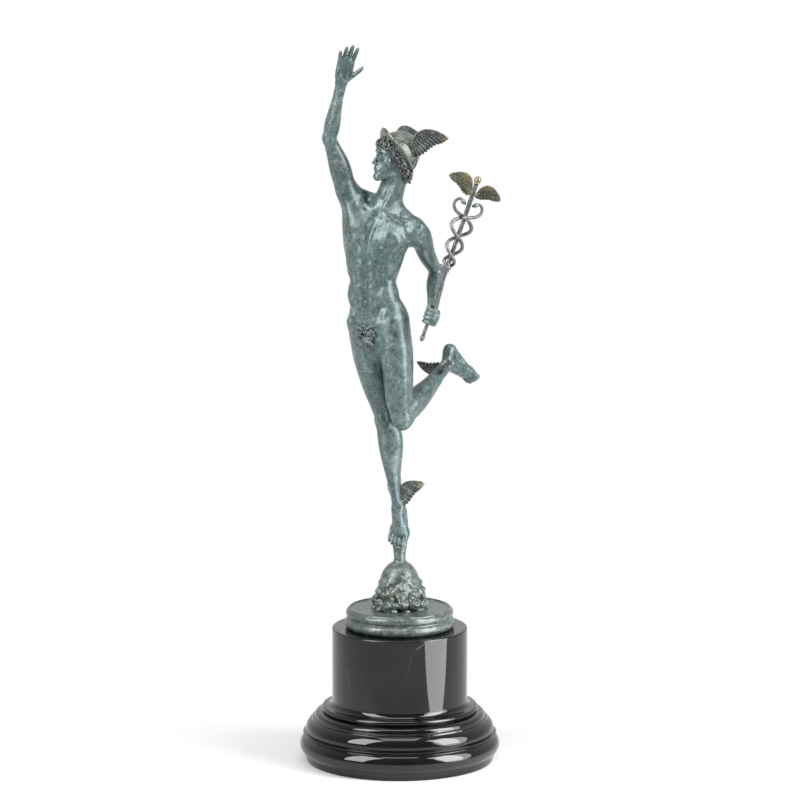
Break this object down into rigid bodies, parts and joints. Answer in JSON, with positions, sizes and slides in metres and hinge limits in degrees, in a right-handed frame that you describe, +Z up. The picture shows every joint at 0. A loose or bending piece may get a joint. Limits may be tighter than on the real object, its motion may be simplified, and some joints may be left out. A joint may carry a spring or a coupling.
{
  "type": "bronze statuette of Mercury on a marble socle",
  "caption": "Bronze statuette of a youth with winged hat and snake staff, poised on tiptoe with an arm raised, on a cloud mound and a turned black marble socle.",
  "frame": {"origin": "middle of the socle's underside, on the surface that the statuette stands on", "axes": "+Z up along the socle's turning axis, -Y the side seen from the front, +X to the viewer's right, where the staff is"},
  "size_m": [0.1622, 0.1622, 0.587],
  "materials": {
    "black_marble": "polished black marble with faint pale veins",
    "patinated_bronze": "mottled blue-green patina over cast bronze, darker in the hollows",
    "rubbed_bronze": "dark patina rubbed to gold-brown on the high points"
  },
  "bodies": {
    "root": {"marble_socle": "black_marble", "bronze_base": "patinated_bronze", "mercury_figure": "patinated_bronze", "caduceus": "rubbed_bronze"}
  },
  "joints": []
}
